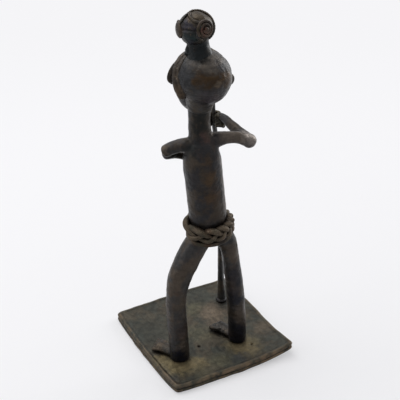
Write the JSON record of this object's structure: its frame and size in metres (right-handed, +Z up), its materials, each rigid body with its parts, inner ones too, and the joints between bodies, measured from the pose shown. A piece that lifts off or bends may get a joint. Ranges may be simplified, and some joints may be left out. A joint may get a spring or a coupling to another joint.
{
  "type": "cast bronze figurine",
  "caption": "Standing lost-wax bronze figure with a topknot and a plaited belt, holding a long thin staff on a square plate.",
  "frame": {"origin": "middle of the plate's underside, where it rests", "axes": "+Z up, the figure faces -Y, its left hand side is +X"},
  "size_m": [0.0582, 0.0584, 0.151],
  "materials": {
    "dark_bronze": "satin dark brown-black patina on cast bronze",
    "warm_bronze": "satin brown patina with tan dust in the recesses, on cast bronze",
    "dusty_bronze": "dull grey-green patina with ochre dust, on cast bronze"
  },
  "bodies": {
    "root": {"left_leg": "dark_bronze", "right_leg": "dark_bronze", "left_foot": "dark_bronze", "right_foot": "dark_bronze", "torso": "dark_bronze", "neck": "dark_bronze", "face": "dark_bronze", "left_ear": "dark_bronze", "right_ear": "dark_bronze", "topknot_stalk": "dark_bronze", "stalk_bead": "dark_bronze", "left_upper_arm": "dark_bronze", "left_forearm": "dark_bronze", "left_hand": "dark_bronze", "right_upper_arm": "dark_bronze", "right_forearm": "dark_bronze", "staff": "dark_bronze", "head_ball": "warm_bronze", "hairline_band": "warm_bronze", "topknot_bun": "warm_bronze", "topknot_strap": "warm_bronze", "topknot_cross_wire": "warm_bronze", "left_coil": "warm_bronze", "right_coil": "warm_bronze", "belt_strand_1": "warm_bronze", "belt_strand_2": "warm_bronze", "belt_strand_3": "warm_bronze", "belt_lower_cord": "warm_bronze", "right_hand": "warm_bronze", "base_plate": "dusty_bronze", "staff_foot": "dusty_bronze"}
  },
  "joints": []
}
